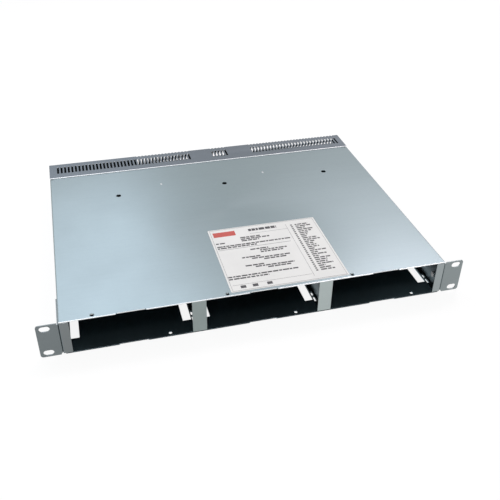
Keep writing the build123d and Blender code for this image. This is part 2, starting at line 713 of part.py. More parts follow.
def ear_screws():
    """Countersunk screws that hold each ear, and reach through to the guide's nuts."""
    face = BODY_X + FIT + EAR_T
    length = face - GUIDE_IN + NUT_H
    one = countersunk_screw(M4_R, length, M4_HEAD_R, EAR_CSK_H)
    right = [facing(face, y, z, "+X") * one for y in EAR_SCREW_YS for z in EAR_SCREW_ZS]
    left = [facing(-face, y, z, "-X") * one for y in EAR_SCREW_YS for z in EAR_SCREW_ZS]
    return Compound(children=right + left)


def ear_nuts():
    one = press_nut(M4_HOLE_R, NUT_H)
    nuts = []
    for y in EAR_SCREW_YS:
        for z in EAR_SCREW_ZS:
            nuts.append(facing(GUIDE_IN, y, z, "-X") * one)
            nuts.append(facing(-GUIDE_IN, y, z, "+X") * one)
    return Compound(children=nuts)


def side_nut_x(y):
    """Inner face that a side screw's nut sits on."""
    return GUIDE_IN if y < DIVIDER_D else LIP_IN


def side_screws():
    z = BASE_Z + SIDE_SCREW_Z
    screws = []
    for y in SIDE_SCREW_YS:
        one = countersunk_screw(M3_R, BODY_X - side_nut_x(y) + NUT_H, SIDE_HEAD_R, SIDE_CSK_H)
        screws.append(facing(BODY_X, y, z, "+X") * one)
        screws.append(facing(-BODY_X, y, z, "-X") * one)
    return Compound(children=screws)


def side_nuts():
    z = BASE_Z + SIDE_SCREW_Z
    one = press_nut(M3_HOLE_R, NUT_H)
    nuts = []
    for y in SIDE_SCREW_YS:
        nuts.append(facing(side_nut_x(y), y, z, "-X") * one)
        nuts.append(facing(-side_nut_x(y), y, z, "+X") * one)
    return Compound(children=nuts)


def rear_screws():
    one = pan_screw(M3_R, BODY_D - WALL_IN + NUT_H, M3_HEAD_R, M3_HEAD_H)
    return Compound(children=[facing(x, BODY_D, REAR_SCREW_Z, "+Y") * one for x in REAR_SCREW_XS])


def rear_nuts():
    one = press_nut(M3_R + FIT, NUT_H)
    return Compound(children=[facing(x, WALL_IN, REAR_SCREW_Z, "-Y") * one for x in REAR_SCREW_XS])


def backplane_rail():
    """Angle that carries the backplane board."""
    mid = SHEET_T / 2
    z = FLOOR_Z + FIT + mid
    fold = [(RAIL_Y + RAIL_FOOT, z), (RAIL_Y + mid, z), (RAIL_Y + mid, FLOOR_Z + RAIL_H)]
    half = STANDOFF_XS[-1] + RAIL_END
    rail = along_x(folded(fold), -half, half)
    rail -= [bar_y(x, RAIL_Y, FLOOR_Z + STANDOFF_Z, M3_R + FIT, 6) for x in STANDOFF_XS]
    return rail - [bar_z(x, RAIL_Y + RAIL_RIVET_Y, FLOOR_Z, RIVET_R + FIT, 6) for x in STANDOFF_XS]


def backplane_board():
    half = STANDOFF_XS[-1] + BOARD_SCREW_EDGE
    z0 = FLOOR_Z + BOARD_LIFT
    board = block(-half, half, BOARD_Y, BOARD_Y + BOARD_T, z0, z0 + BOARD_H)
    return board - [bar_y(x, BOARD_Y, FLOOR_Z + STANDOFF_Z, M3_HOLE_R, 6) for x in STANDOFF_XS]


def board_standoffs():
    """Six-sided spacers between the rail and the board."""
    length = STANDOFF_L - 2 * FIT
    post = extrude(RegularPolygon(STANDOFF_R, 6), amount=length) - Cylinder(M3_R + FIT, 3 * length)
    y = BOARD_Y + BOARD_T + FIT
    return Compound(children=[facing(x, y, FLOOR_Z + STANDOFF_Z, "+Y") * post for x in STANDOFF_XS])


def board_screws():
    length = BOARD_T + STANDOFF_L + SHEET_T
    one = pan_screw(M3_R, length, M3_HEAD_R, M3_HEAD_H)
    return Compound(children=[facing(x, BOARD_Y, FLOOR_Z + STANDOFF_Z, "-Y") * one for x in STANDOFF_XS])


def module_connector(bay):
    """Blind-mating connector with power blades' slots, signal holes and two guide horns."""
    z = FLOOR_Z + CONNECTOR_Z
    front = BOARD_Y - CONNECTOR_D
    half_w, half_h = CONNECTOR_W / 2, CONNECTOR_H / 2
    body = block(-half_w, half_w, front, BOARD_Y, -half_h, half_h)
    body = chamfer(body.edges().filter_by(Axis.Z).group_by(Axis.Y)[0], CONNECTOR_CHAMFER)
    slots = []
    for i in range(N_BLADES):
        for side in (-1, 1):
            x = side * (half_w - BLADE_EDGE - BLADE_PITCH * i)
            slots.append(Pos(x, front, 0) * Box(BLADE_W, 2 * BLADE_DEPTH, BLADE_H))
    columns = spread(-1, 1, N_CONTACT_COLUMNS)
    rows = spread(-1, 1, N_CONTACT_ROWS)
    reach_x = CONTACT_PITCH * (N_CONTACT_COLUMNS - 1) / 2
    reach_z = CONTACT_PITCH * (N_CONTACT_ROWS - 1) / 2
    hole = Box(CONTACT_W, 2 * CONTACT_DEPTH, CONTACT_W)
    holes = [Pos(a * reach_x, front, b * reach_z) * hole for a in columns for b in rows]
    return Pos(bay, 0, z) * (body - slots - holes)


def power_header(x):
    """Open-topped wire header on the back of the board."""
    y0 = BOARD_Y + BOARD_T
    body = block(x - HEADER_W / 2, x + HEADER_W / 2, y0, y0 + HEADER_D, HEADER_TOP - HEADER_H, HEADER_TOP)
    for side in (-1, 0, 1):
        well = x + side * PIN_PITCH / 2
        body -= block(well - HEADER_WELL_W / 2, well + HEADER_WELL_W / 2, y0 + HEADER_WALL,
                      y0 + HEADER_D - HEADER_LIP, HEADER_TOP - HEADER_WELL_H, HEADER_TOP + 1)
    return body


def inlet_housing(x):
    """Three-pin mains inlet with its screw flange."""
    z = BASE_Z + INLET_Z
    y = TRAY_D + FIT
    flange = block(-INLET_FLANGE_W / 2, INLET_FLANGE_W / 2, y, y + INLET_FLANGE_T,
                   -INLET_FLANGE_H / 2, INLET_FLANGE_H / 2)
    flange = fillet(flange.edges().filter_by(Axis.Y), INLET_CORNER_R)
    body = along_y(inlet_outline(INLET_BODY_W, INLET_BODY_H), y - INLET_BODY_D, y + INLET_FLANGE_T / 2)
    shape = flange + body
    face = y + INLET_FLANGE_T
    shape -= along_y(inlet_outline(INLET_MOUTH_W, INLET_MOUTH_H), face - INLET_MOUTH_D, face + 1)
    for dx, dz in pin_places():
        half_w, half_h = PIN_W / 2 + FIT, PIN_H / 2 + FIT
        shape -= block(dx - half_w, dx + half_w, y - INLET_BODY_D - 1, face, dz - half_h, dz + half_h)
    for side in (-1, 1):
        sink = countersink(M3_HOLE_R, M3_HEAD_R, CSK_HEAD_H, 4)
        shape -= facing(side * INLET_SCREW_PITCH / 2, face, 0, "+Y") * sink
    return Pos(x, 0, z) * shape


def pin_places():
    """Offsets of an inlet's three pins from its centre, earth pin last."""
    return [(-PIN_PITCH / 2, -PIN_DROP), (PIN_PITCH / 2, -PIN_DROP), (0, PIN_DROP)]


def inlet_pins(x):
    face = TRAY_D + FIT + INLET_FLANGE_T
    back = TRAY_D + FIT - INLET_BODY_D
    pins = []
    for dx, dz in pin_places():
        pin = block(dx - PIN_W / 2, dx + PIN_W / 2, back, face - PIN_SETBACK, dz - PIN_H / 2, dz + PIN_H / 2)
        pin = chamfer(pin.edges().group_by(Axis.Y)[-1], PIN_CHAMFER)
        pin += block(dx - TAB_PIN_T / 2, dx + TAB_PIN_T / 2, back - TAB_PIN_L, back,
                     dz - PIN_H / 2, dz + PIN_H / 2)
        pins.append(Pos(x, 0, BASE_Z + INLET_Z) * pin)
    return Compound(children=pins)


def inlet_screws():
    face = TRAY_D + FIT + INLET_FLANGE_T
    one = countersunk_screw(M3_R, face - WALL_IN + NUT_H, M3_HEAD_R, CSK_HEAD_H)
    places = [x + s * INLET_SCREW_PITCH / 2 for x in INLET_XS for s in (-1, 1)]
    return Compound(children=[facing(x, face, BASE_Z + INLET_Z, "+Y") * one for x in places])


def inlet_nuts():
    one = press_nut(M3_R + FIT, NUT_H)
    places = [x + s * INLET_SCREW_PITCH / 2 for x in INLET_XS for s in (-1, 1)]
    return Compound(children=[facing(x, WALL_IN, BASE_Z + INLET_Z, "-Y") * one for x in places])


def output_bar(x):
    """Folded bar from the board through the rear wall to an output pad."""
    z = BASE_Z + BAR_Z
    y0 = BOARD_Y + BOARD_T + FIT + BAR_T / 2
    y1 = TRAY_D + FIT + INSULATOR_T + FIT + BAR_T / 2
    fold = [(y0, z + BAR_FOOT_H), (y0, z), (y1, z), (y1, z - PAD_H)]
    bar = along_x(folded(fold, t=BAR_T, r=BAR_BEND_R), x - BAR_W / 2, x + BAR_W / 2)
    pad_z = z - PAD_H / 2
    bar -= bar_y(x, y1, pad_z, PAD_HOLE_R, 3 * BAR_T)
    return bar


def output_insulator():
    """Moulded block that holds the output pads off the rear wall."""
    z = BASE_Z + INLET_Z
    y = TRAY_D + FIT
    reach = BAR_W / 2 + INSULATOR_MARGIN
    half_h = INSULATOR_H / 2
    shape = block(PAD_XS[0] - reach, PAD_XS[1] + reach, y, y + INSULATOR_T, z - half_h, z + half_h)
    shape = fillet(shape.edges().filter_by(Axis.Y), INSULATOR_CORNER_R)
    x0, x1, z0, z1 = insulator_hole()
    shape += block(x0 + FIT, x1 - FIT, y - INSULATOR_BOSS_D, y + INSULATOR_T / 2, z0 + FIT, z1 - FIT)
    bar_z0 = BASE_Z + BAR_Z - BAR_T / 2 - BAR_BEND_R
    bar_z1 = BASE_Z + BAR_Z + BAR_T / 2 + FIT
    half_w = BAR_W / 2 + FIT
    bolt_depth = INSULATOR_T + INSULATOR_BOSS_D - BOLT_ROOM
    for x in PAD_XS:
        shape -= block(x - half_w, x + half_w, y - 10, y + 10, bar_z0, bar_z1)
        pad_z = BASE_Z + BAR_Z - PAD_H / 2
        shape -= bar_y(x, y + INSULATOR_T, pad_z, PAD_HOLE_R + BOLT_ROOM, 2 * bolt_depth)
    middle = (PAD_XS[0] + PAD_XS[1]) / 2
    ridge = PAD_PITCH - BAR_W - 2 * RIDGE_GAP
    shape += block(middle - ridge / 2, middle + ridge / 2, y + INSULATOR_T / 2,
                   y + INSULATOR_T + BAR_T + RIDGE_RISE, z - half_h + RIDGE_EDGE, z + half_h - RIDGE_EDGE)
    return shape


def signal_shell():
    """Metal flange and D-shaped shell of the signal connector."""
    z = BASE_Z + SIGNAL_Z
    y = TRAY_D + FIT
    flange = block(-SIGNAL_FLANGE_W / 2, SIGNAL_FLANGE_W / 2, y, y + SIGNAL_FLANGE_T,
                   -SIGNAL_FLANGE_H / 2, SIGNAL_FLANGE_H / 2)
    flange = fillet(flange.edges().filter_by(Axis.Y), SIGNAL_CORNER_R)
    shape = flange + along_y(signal_outline(SIGNAL_SHELL_W, SIGNAL_SHELL_H), y, y + SIGNAL_SHELL_OUT)
    inside = signal_outline(SIGNAL_SHELL_W - 2 * SIGNAL_SHELL_T, SIGNAL_SHELL_H - 2 * SIGNAL_SHELL_T)
    shape -= along_y(inside, y - 1, y + SIGNAL_SHELL_OUT + 1)
    shape -= [bar_y(s * SIGNAL_SCREW_PITCH / 2, y, 0, M3_HOLE_R, 6) for s in (-1, 1)]
    return Pos(SIGNAL_X, 0, z) * shape


def signal_insert():
    """Moulded body of the signal connector with its two rows of contact holes."""
    z = BASE_Z + SIGNAL_Z
    y = TRAY_D + FIT
    wall = SIGNAL_SHELL_T + FIT
    outer = signal_outline(SIGNAL_SHELL_W - 2 * wall, SIGNAL_SHELL_H - 2 * wall)
    shape = along_y(outer, y - SIGNAL_BODY_D, y + SIGNAL_SHELL_OUT - SIGNAL_SETBACK)
    back = y - SIGNAL_BLOCK_BACK
    shape += block(-SIGNAL_SHELL_W / 2, SIGNAL_SHELL_W / 2, back, back + SIGNAL_BLOCK_D,
                   -SIGNAL_FLANGE_H / 2, SIGNAL_FLANGE_H / 2)
    for row, count in ((1, N_SIGNAL_PINS), (-1, N_SIGNAL_PINS - 1)):
        for i in range(count):
            x = (i - (count - 1) / 2) * SIGNAL_PIN_PITCH
            pin = Pos(x, y + SIGNAL_SHELL_OUT, row * SIGNAL_ROW_PITCH / 2)
            shape -= pin * Box(SIGNAL_PIN_W, 2 * SIGNAL_PIN_DEPTH, SIGNAL_PIN_W)
    return Pos(SIGNAL_X, 0, z) * shape


def signal_screw_posts():
    """Six-sided screw posts either side of the signal connector."""
    y = TRAY_D + FIT + SIGNAL_FLANGE_T
    length = SIGNAL_SHELL_OUT - SIGNAL_FLANGE_T
    shank = Pos(0, 0, -SIGNAL_POST_SHANK / 2) * Cylinder(M3_R, SIGNAL_POST_SHANK)
    post = extrude(RegularPolygon(SIGNAL_POST_R, 6), amount=length) + shank
    post -= Pos(0, 0, length) * Cylinder(M3_R, 2 * SIGNAL_POST_HOLE)
    places = [SIGNAL_X + s * SIGNAL_SCREW_PITCH / 2 for s in (-1, 1)]
    return Compound(children=[facing(x, y, BASE_Z + SIGNAL_Z, "+Y") * post for x in places])


def modular_jack(x):
    """Eight-way modular socket with the key way of its plug at the bottom."""
    z0 = jack_bottom()
    face = TRAY_D + JACK_PROUD
    body = block(x - JACK_W / 2, x + JACK_W / 2, face - JACK_D, face, z0, z0 + JACK_H)
    mouth_z = z0 + (JACK_H + JACK_KEY_H - JACK_MOUTH_H) / 2
    body -= block(x - JACK_MOUTH_W / 2, x + JACK_MOUTH_W / 2, face - JACK_MOUTH_D, face + 1,
                  mouth_z, mouth_z + JACK_MOUTH_H)
    body -= block(x - JACK_KEY_W / 2, x + JACK_KEY_W / 2, face - JACK_MOUTH_D + JACK_KEY_SETBACK, face + 1,
                  mouth_z - JACK_KEY_H, mouth_z + FIT)
    return body


def signal_board():
    """Small board on the floor that carries the signal connectors."""
    z0 = FLOOR_Z + SIGNAL_BOARD_LIFT
    x0 = SIGNAL_X - SIGNAL_FLANGE_W / 2
    x1 = JACK_XS[-1] + JACK_W / 2 + SIGNAL_BOARD_EDGE
    y1 = WALL_IN - SIGNAL_BOARD_GAP
    board = block(x0, x1, y1 - SIGNAL_BOARD_D, y1, z0, z0 + SIGNAL_BOARD_T)
    y = y1 - SIGNAL_BOARD_D + PILLAR_SETBACK
    return board - [bar_z(x, y, z0, M3_HOLE_R, 6) for x in signal_post_xs()]


def signal_post_xs():
    right = JACK_XS[-1] + JACK_W / 2 + SIGNAL_BOARD_EDGE
    return [SIGNAL_X - SIGNAL_FLANGE_W / 2 + PILLAR_EDGE, right - PILLAR_EDGE]


def signal_posts():
    """Pillars under the signal board, standing on the floor."""
    length = SIGNAL_BOARD_LIFT - 2 * FIT
    y = WALL_IN - SIGNAL_BOARD_GAP - SIGNAL_BOARD_D + PILLAR_SETBACK
    z = FLOOR_Z + FIT
    posts = [Pos(x, y, z) * extrude(RegularPolygon(STANDOFF_R, 6), amount=length) for x in signal_post_xs()]
    return Compound(children=posts)


def wire(points, r, bend):
    """Wire along straight runs joined by arcs."""
    path = FilletPolyline(*points, radius=bend)
    return sweep(Plane(origin=path @ 0, z_dir=path % 0) * RegularPolygon(r, 10), path=path)


def power_leads(pin):
    """One lead to each inlet, from the header's top, over and down to the inlet's tab."""
    dx, dz = pin_places()[pin]
    y_tab = TRAY_D + FIT - INLET_BODY_D - TAB_PIN_L - FIT
    y_in = y_tab - LEAD_RUN
    y_head = BOARD_Y + BOARD_T + (HEADER_WALL + HEADER_D - HEADER_LIP) / 2
    z_tab = BASE_Z + INLET_Z + dz
    z_head = HEADER_TOP - HEADER_WELL_H + FIT
    z_top = FLOOR_Z + LEAD_TOP
    leads = []
    for x in INLET_XS:
        points = [(x + dx, y_head, z_head), (x + dx, y_head, z_top), (x + dx, y_in, z_top),
                  (x + dx, y_in, z_tab), (x + dx, y_tab, z_tab)]
        bend = [WIRE_BEND, WIRE_BEND, LEAD_END_BEND]
        leads.append(wire(points, WIRE_R, bend))
    return Compound(children=leads)


def rating_label():
    """Bare self-adhesive label on the cover."""
    sheet = RectangleRounded(LABEL_W, LABEL_D, LABEL_CORNER_R)
    centre = Pos(LABEL_X0 + LABEL_W / 2, LABEL_Y0 + LABEL_D / 2, 0)
    return centre * along_z(sheet, TOP_Z, TOP_Z + LABEL_T)


def main():
    os.makedirs("parts", exist_ok=True)
    save("base_tray", base_tray())
    save("top_cover", top_cover())
    save("rear_cover", rear_cover())
    for name, x in zip(("left", "right"), DIVIDER_XS):
        save(f"divider_{name}_a", divider_sheet(x, -1))
        save(f"divider_{name}_b", divider_sheet(x, 1))
        save(f"divider_post_{name}", divider_post(x))
    save("side_guide_left", side_guide(-1))
    save("side_guide_right", side_guide(1))
    save("foot_rivets", foot_rivets())
    save("rack_ear_left", ear(-1))
    save("rack_ear_right", ear(1))
    save("ear_screws", ear_screws())
    save("ear_nuts", ear_nuts())
    save("side_screws", side_screws())
    save("side_nuts", side_nuts())
    save("rear_cover_screws", rear_screws())
    save("rear_cover_nuts", rear_nuts())
    save("backplane_rail", backplane_rail())
    save("backplane_board", backplane_board())
    save("board_standoffs", board_standoffs())
    save("board_screws", board_screws())
    for i, bay in enumerate(BAY_XS):
        save(f"module_connector_{i + 1}", module_connector(bay))
    for i, x in enumerate(INLET_XS):
        save(f"power_header_{i + 1}", power_header(x))
        save(f"inlet_housing_{i + 1}", inlet_housing(x))
        save(f"inlet_pins_{i + 1}", inlet_pins(x))
    save("inlet_screws", inlet_screws())
    save("inlet_nuts", inlet_nuts())
    save("output_bar_positive", output_bar(PAD_XS[0]))
    save("output_bar_negative", output_bar(PAD_XS[1]))
    save("output_insulator", output_insulator())
    save("signal_shell", signal_shell())
    save("signal_insert", signal_insert())
    save("signal_posts_hex", signal_screw_posts())
    for i, x in enumerate(JACK_XS):
        save(f"modular_jack_{i + 1}", modular_jack(x))
    save("signal_board", signal_board())
    save("signal_board_pillars", signal_posts())
    for i, name in enumerate(("live", "neutral", "earth")):
        save(f"leads_{name}", power_leads(i))
    save("rating_label", rating_label())


main()
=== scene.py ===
"""Looks for the rack power shelf: materials, label print, studio and camera.

Metres, in the CAD frame: X along the width, Y from front to back, Z up.
"""

import json
import math
import random

import bpy
from mathutils import Matrix, Vector


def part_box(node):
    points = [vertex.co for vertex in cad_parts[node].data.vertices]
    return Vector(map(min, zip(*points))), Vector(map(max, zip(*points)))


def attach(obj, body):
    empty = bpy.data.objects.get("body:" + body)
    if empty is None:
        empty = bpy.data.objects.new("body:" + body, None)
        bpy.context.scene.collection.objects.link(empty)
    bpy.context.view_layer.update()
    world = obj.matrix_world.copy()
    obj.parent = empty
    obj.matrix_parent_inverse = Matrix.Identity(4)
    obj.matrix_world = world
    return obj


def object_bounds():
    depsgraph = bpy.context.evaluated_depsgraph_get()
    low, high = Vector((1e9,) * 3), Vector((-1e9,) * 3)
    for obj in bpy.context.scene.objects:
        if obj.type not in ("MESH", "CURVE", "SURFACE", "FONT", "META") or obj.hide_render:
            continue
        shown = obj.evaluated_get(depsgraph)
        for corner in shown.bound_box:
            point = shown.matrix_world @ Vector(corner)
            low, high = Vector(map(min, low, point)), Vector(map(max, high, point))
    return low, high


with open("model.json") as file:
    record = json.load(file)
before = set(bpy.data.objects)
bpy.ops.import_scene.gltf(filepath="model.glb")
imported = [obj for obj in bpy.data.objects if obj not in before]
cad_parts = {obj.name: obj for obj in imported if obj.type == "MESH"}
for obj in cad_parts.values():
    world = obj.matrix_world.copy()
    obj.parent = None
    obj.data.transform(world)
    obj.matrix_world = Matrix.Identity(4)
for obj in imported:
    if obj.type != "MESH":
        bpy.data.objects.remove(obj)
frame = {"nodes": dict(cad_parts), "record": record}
cad_box = [list(corner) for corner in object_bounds()]
nodes = frame["nodes"]
scene = bpy.context.scene


# Camera, from a fit to the photo's corners, slots and edges

CAM_AZ = math.radians(-15.446)
CAM_EL = math.radians(34.693)
CAM_ROLL = math.radians(0.833)
CAM_DIST = 0.889717
CAM_LOOK = Vector((0.024226, 0.148318, -0.028152))
CAM_F = 680.032          # focal length in the photo's pixels
FRAME_W = 500            # the photo's width in pixels
SENSOR_W = 36            # millimetres
CLIP_START = 0.01


def make_camera():
    flat = math.cos(CAM_EL)
    back = Vector((math.sin(CAM_AZ) * flat, -math.cos(CAM_AZ) * flat, math.sin(CAM_EL)))
    side = (-back).cross(Vector((0, 0, 1))).normalized()
    up = side.cross(-back)
    right = side * math.cos(CAM_ROLL) + up * math.sin(CAM_ROLL)
    up = up * math.cos(CAM_ROLL) - side * math.sin(CAM_ROLL)
    data = bpy.data.cameras.new("camera")
    data.sensor_fit = "HORIZONTAL"
    data.sensor_width = SENSOR_W
    data.lens = CAM_F / FRAME_W * SENSOR_W
    data.clip_start = CLIP_START
    camera = bpy.data.objects.new("camera", data)
    place = Matrix((right, up, back)).transposed().to_4x4()
    place.translation = CAM_LOOK + back * CAM_DIST
    camera.matrix_world = place
    scene.collection.objects.link(camera)
    scene.camera = camera


# Node helpers

BEVEL_SAMPLES = 6


class Graph:
    """A material's nodes, with short calls for those used here."""

    def __init__(self, name):
        self.material = bpy.data.materials.new(name)
        self.material.use_nodes = True
        self.tree = self.material.node_tree
        self.shader = self.tree.nodes["Principled BSDF"]
        self.coords = self.tree.nodes.new("ShaderNodeTexCoord").outputs["Object"]

    def node(self, kind, inputs=(), **settings):
        made = self.tree.nodes.new(kind)
        for key, value in settings.items():
            setattr(made, key, value)
        for key, value in dict(inputs).items():
            self.put(made.inputs[key], value)
        return made

    def put(self, socket, value):
        if isinstance(value, bpy.types.NodeSocket):
            self.tree.links.new(value, socket)
        else:
            socket.default_value = value

    def set(self, **inputs):
        for key, value in inputs.items():
            self.put(self.shader.inputs[key.replace("_", " ")], value)

    def math(self, operation, a, b=0.0):
        return self.node("ShaderNodeMath", {0: a, 1: b}, operation=operation).outputs[0]

    def scaled(self, scale):
        return self.node("ShaderNodeMapping", {"Vector": self.coords, "Scale": scale}).outputs[0]

    def noise(self, scale, detail, rough, vector=None):
        made = self.node("ShaderNodeTexNoise", {"Scale": scale, "Detail": detail, "Roughness": rough,
                                                "Vector": vector or self.coords})
        return made.outputs["Fac"]

    def cells(self, scale):
        made = self.node("ShaderNodeTexVoronoi", {"Scale": scale, "Vector": self.coords})
        return self.node("ShaderNodeSeparateColor", {0: made.outputs["Color"]}).outputs[0]

    def span(self, value, low, high, new_low=0.0, new_high=1.0):
        made = self.node("ShaderNodeMapRange", {"Value": value, "From Min": low, "From Max": high,
                                                "To Min": new_low, "To Max": new_high})
        return made.outputs["Result"]

    def mix(self, factor, a, b):
        made = self.node("ShaderNodeMix", data_type="RGBA")
        self.put(made.inputs["Factor"], factor)
        self.put(made.inputs["A"], a)
        self.put(made.inputs["B"], b)
        return made.outputs["Result"]

    def axis(self, name):
        return self.node("ShaderNodeSeparateXYZ", {0: self.coords}).outputs[name]

    def facing(self, name):
        normal = self.tree.nodes.new("ShaderNodeTexCoord").outputs["Normal"]
        return self.node("ShaderNodeSeparateXYZ", {0: normal}).outputs[name]

    def below(self, value, limit):
        return self.math("LESS_THAN", value, limit)

    def above(self, value, limit):
        return self.math("GREATER_THAN", value, limit)

    def bump(self, height, strength, distance, edge=0.0, zone=None):
        """Bump from a height; edges look rounded by the given radius, in a zone if one is given."""
        made = self.node("ShaderNodeBump", {"Height": height, "Strength": strength, "Distance": distance})
        if edge:
            radius = self.math("MULTIPLY", zone(self), edge) if zone else edge
            bevel = self.node("ShaderNodeBevel", {"Radius": radius}, samples=BEVEL_SAMPLES)
            self.put(made.inputs["Normal"], bevel.outputs[0])
        self.put(self.shader.inputs["Normal"], made.outputs[0])


def rgba(r, g, b):
    return (r, g, b, 1.0)


def shaded(colour, share, lift=0.0):
    """A colour times a share, within what a colour may be."""
    return rgba(*[min(1, c * share + lift) for c in colour])


# Materials

# Grain of the sheets
ROLLING = (10.0, 420.0, 420.0)       # long along the width, fine across it
SPANGLE = 420.0
CLOUDS = 9.0
DARKER = 0.86            # share of the sheet's colour in its darker places
LIGHTER = 1.1            # and along its lighter rolling lines
SHEET_EDGE = 0.0006      # radius that the sheets' edges seem to have
REAR_EDGE = 0.0010

# Spread of the roughness. More of it than this leaves dark pixels on the cover.
CLOUD_SPREAD = 0.03
ROLLING_SPREAD = 0.006
SPANGLE_SPREAD = 0.004


def sheet_steel(name, colour, rough, fields=(), painted_shade_inside=None, edge=SHEET_EDGE, zone=None):
    """Zinc-plated sheet: spangle, rolling lines, uneven sheen, and other colours on the given fields."""
    g = Graph(name)
    low = shaded(colour, DARKER)
    cloud = g.noise(CLOUDS, 4.0, 0.55)
    rolled = g.noise(1.0, 3.0, 0.5, g.scaled(ROLLING))
    spangle = g.cells(SPANGLE)
    mixed = g.mix(g.span(cloud, 0.3, 0.7, 0.0, 0.6), rgba(*colour), low)
    mixed = g.mix(g.span(spangle, 0.0, 1.0, 0.0, 0.16), mixed, low)
    mixed = g.mix(g.span(rolled, 0.35, 0.65, 0.0, 0.12), mixed, shaded(colour, LIGHTER))
    # Painted shade on the faces that look into the shelf.
    if painted_shade_inside:
        mixed = g.mix(painted_shade_inside(g), mixed, rgba(*INSIDE_PAINTED_SHADE))
    for mask, own in fields:
        mixed = g.mix(mask(g), mixed, rgba(*own))
    g.set(Base_Color=mixed, Metallic=1.0)
    sheen = g.math("ADD", g.span(cloud, 0.25, 0.75, rough - CLOUD_SPREAD, rough + CLOUD_SPREAD),
                   g.span(rolled, 0.3, 0.7, -ROLLING_SPREAD, ROLLING_SPREAD))
    g.set(Roughness=g.math("ADD", sheen, g.span(spangle, 0.0, 1.0, -SPANGLE_SPREAD, SPANGLE_SPREAD)))
    g.set(Anisotropic=0.25)
    g.bump(rolled, 0.04, 0.00005, edge, zone)
    return g.material


def plain_metal(name, colour, rough):
    """Small metal parts: plating with fine grain and slightly uneven sheen."""
    g = Graph(name)
    cloud = g.noise(180.0, 4.0, 0.6)
    grain = g.noise(700.0, 2.0, 0.5)
    g.set(Base_Color=g.mix(g.span(cloud, 0.35, 0.7), rgba(*colour), shaded(colour, 0.8)), Metallic=1.0)
    g.set(Roughness=g.span(cloud, 0.3, 0.7, rough - 0.06, rough + 0.08))
    g.bump(grain, 0.08, 0.0001)
    return g.material


def moulded(name, colour, rough):
    """Moulded plastic with a fine eroded texture."""
    g = Graph(name)
    cloud = g.noise(60.0, 3.0, 0.5)
    pits = g.noise(1800.0, 3.0, 0.6)
    g.set(Base_Color=g.mix(g.span(cloud, 0.35, 0.65), rgba(*colour), shaded(colour, 1.25, 0.004)))
    g.set(Roughness=g.span(pits, 0.3, 0.7, rough - 0.06, rough + 0.08))
    g.bump(pits, 0.15, 0.0001)
    return g.material


def circuit_board(name):
    """Solder mask over copper: tracks and ground areas show as paler green."""
    g = Graph(name)
    cloud = g.noise(40.0, 3.0, 0.5)
    bricks = g.node("ShaderNodeTexBrick", {"Vector": g.coords, "Scale": 120.0, "Mortar Size": 0.03,
                                           "Color1": rgba(0, 0, 0), "Color2": rgba(0.2, 0.2, 0.2),
                                           "Mortar": rgba(1, 1, 1)})
    track = g.node("ShaderNodeSeparateColor", {0: bricks.outputs["Color"]}).outputs[0]
    base = g.mix(g.span(cloud, 0.35, 0.65), rgba(0.012, 0.085, 0.045), rgba(0.018, 0.11, 0.06))
    g.set(Base_Color=g.mix(g.math("MULTIPLY", track, 0.6), base, rgba(0.05, 0.20, 0.11)), Roughness=0.32)
    g.bump(track, 0.2, 0.0001)
    return g.material


def printed_film(name, colour):
    """Matt printed film with a faint fibre."""
    g = Graph(name)
    fibre = g.noise(900.0, 4.0, 0.6)
    cloud = g.noise(25.0, 2.0, 0.5)
    g.set(Base_Color=g.mix(g.span(cloud, 0.35, 0.65), rgba(*colour), shaded(colour, 0.95)))
    g.set(Roughness=g.span(fibre, 0.3, 0.7, 0.42, 0.52))
    g.bump(fibre, 0.06, 0.0001)
    return g.material


# Fields of the sheets: which way a face looks, by its normal, and where it is

LEVEL = 0.5              # from this part of its normal, a face looks up, down or, at the back wall, forward
FRONTAL = 0.9            # and from this part it is a front edge or a flange's front
INWARD = -0.1            # a side looks inwards where x times its normal's x is below this

# Metres in the CAD frame
COVER_FRONT = (0.0210, 0.0222)       # from and to this height: the cover's cut front edge
REAR_FRONT = (0.0219, 0.0231)        # the rear strip's cut front edge
TRAY_FRONT = (-0.0212, -0.0200)      # the tray's cut front edge
FLANGE_FRONT = (-0.0212, 0.0205)     # the cover's end flanges
COVER_MARGIN = 0.0004    # from above, the cover's painted edge highlight ends at this depth
REAR_MARGIN = 0.3102     # and the rear strip's at this
BACK_WALL = 0.34         # behind this depth, a face to the front is the back wall's inner face
TAB_END = 0.0214         # above this height, a divider sheet's level face is a tab's end
COVER_FOLD = 0.2160      # the cover's edges look rounded outside this half-width
COVER_LIP = 0.0015       # and in front of this depth


def front_face(low, high, side=0):
    """Faces to the front between two heights, on one side of the shelf or on both."""
    def mask(g):
        z = g.axis("Z")
        here = g.math("MULTIPLY", g.below(g.facing("Y"), -FRONTAL), g.above(z, low))
        here = g.math("MULTIPLY", here, g.below(z, high))
        if side:
            here = g.math("MULTIPLY", here, g.above(g.math("MULTIPLY", g.axis("X"), side), 0.0))
        return here
    return mask


def inner_faces(up):
    """The faces of a folded sheet that look into the shelf: up for the tray, down for the covers."""
    def mask(g):
        level = g.above(g.math("MULTIPLY", g.facing("Z"), up), LEVEL)
        sides = g.below(g.math("MULTIPLY", g.axis("X"), g.facing("X")), INWARD)
        back = g.math("MULTIPLY", g.below(g.facing("Y"), -LEVEL), g.above(g.axis("Y"), BACK_WALL))
        return g.math("MAXIMUM", g.math("MAXIMUM", level, sides), back)
    return mask


def front_margin(y):
    """Outer face of a top sheet, up to a small distance behind its front edge."""
    def mask(g):
        return g.math("MULTIPLY", g.below(g.axis("Y"), y), g.above(g.facing("Z"), LEVEL))
    return mask


def tab_ends(g):
    """Ends of the dividers' tabs, flush in the cover's slots."""
    return g.math("MULTIPLY", g.above(g.axis("Z"), TAB_END), g.above(g.facing("Z"), LEVEL))


def cover_edges(g):
    """Along the cover's front edge and both side folds."""
    side = g.above(g.math("ABSOLUTE", g.axis("X")), COVER_FOLD)
    return g.math("MAXIMUM", side, g.below(g.axis("Y"), COVER_LIP))
